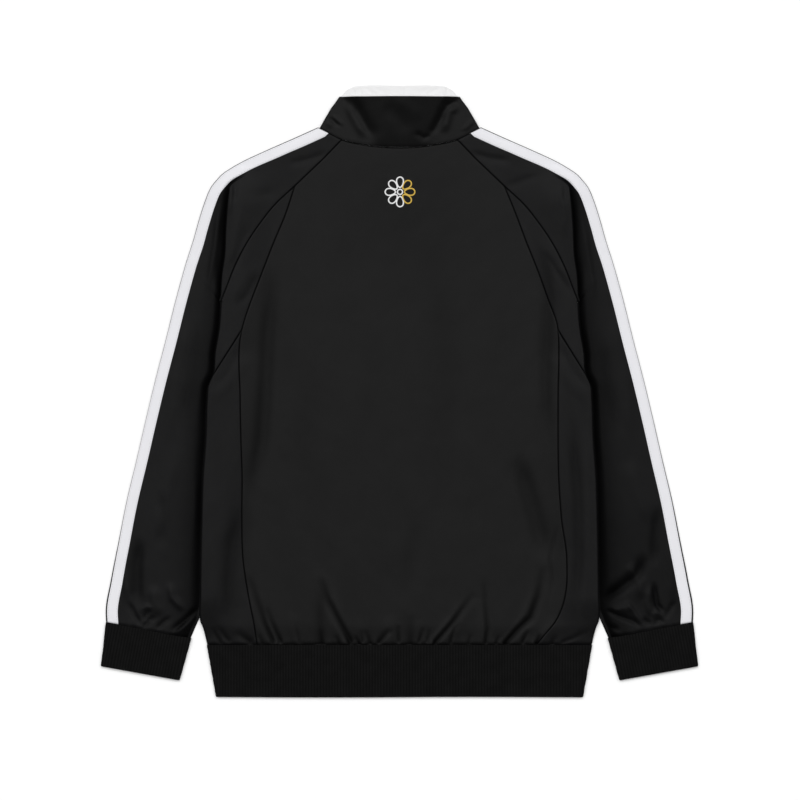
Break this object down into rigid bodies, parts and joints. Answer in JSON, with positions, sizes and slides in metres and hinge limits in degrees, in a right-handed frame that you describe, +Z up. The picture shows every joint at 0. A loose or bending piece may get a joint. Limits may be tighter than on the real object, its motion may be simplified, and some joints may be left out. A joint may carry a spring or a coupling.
{
  "type": "windbreaker",
  "caption": "Zipped raglan windbreaker laid flat with its back up, black with white sleeve tapes, stand collar and ribbed cuffs and hem.",
  "frame": {"origin": "on the surface that the garment lies on, under the middle of its bounding box", "axes": "+Z up off the surface, out of the garment's back; +Y from the hem to the collar; +X to the right of the picture"},
  "size_m": [0.746, 0.764, 0.0111],
  "materials": {
    "shell": "matt woven polyester with a faint sheen",
    "shell_side": "matt woven polyester with a faint sheen",
    "rib": "matt ribbed knit",
    "tape": "matt woven tape",
    "lining": "matt fine woven cloth",
    "zip_tape": "matt woven zip tape",
    "zip_metal": "satin black enamel"
  },
  "bodies": {
    "jacket": {"back_centre": "shell", "back_side_upper_left": "shell_side", "back_side_upper_right": "shell_side", "back_side_lower_left": "shell_side", "back_side_lower_right": "shell_side", "front_left": "shell", "front_right": "shell", "sleeve_back_left": "shell_side", "sleeve_back_right": "shell_side", "sleeve_front_left": "shell_side", "sleeve_front_right": "shell_side", "tape_left": "tape", "tape_right": "tape", "collar_outer": "shell", "collar_lining": "lining", "cuff_left": "rib", "cuff_right": "rib", "hem_rib": "rib", "zip_chain": "zip_tape", "zip_slider": "zip_metal"},
    "pull": {"zip_pull": "zip_metal"}
  },
  "joints": [
    {"name": "pull_tab_hinge", "type": "hinge", "parent": "jacket", "child": "pull", "pos_m": [0, 0.355, 0.0014], "axis": [1, 0, 0], "range_deg": [0, 165]}
  ]
}
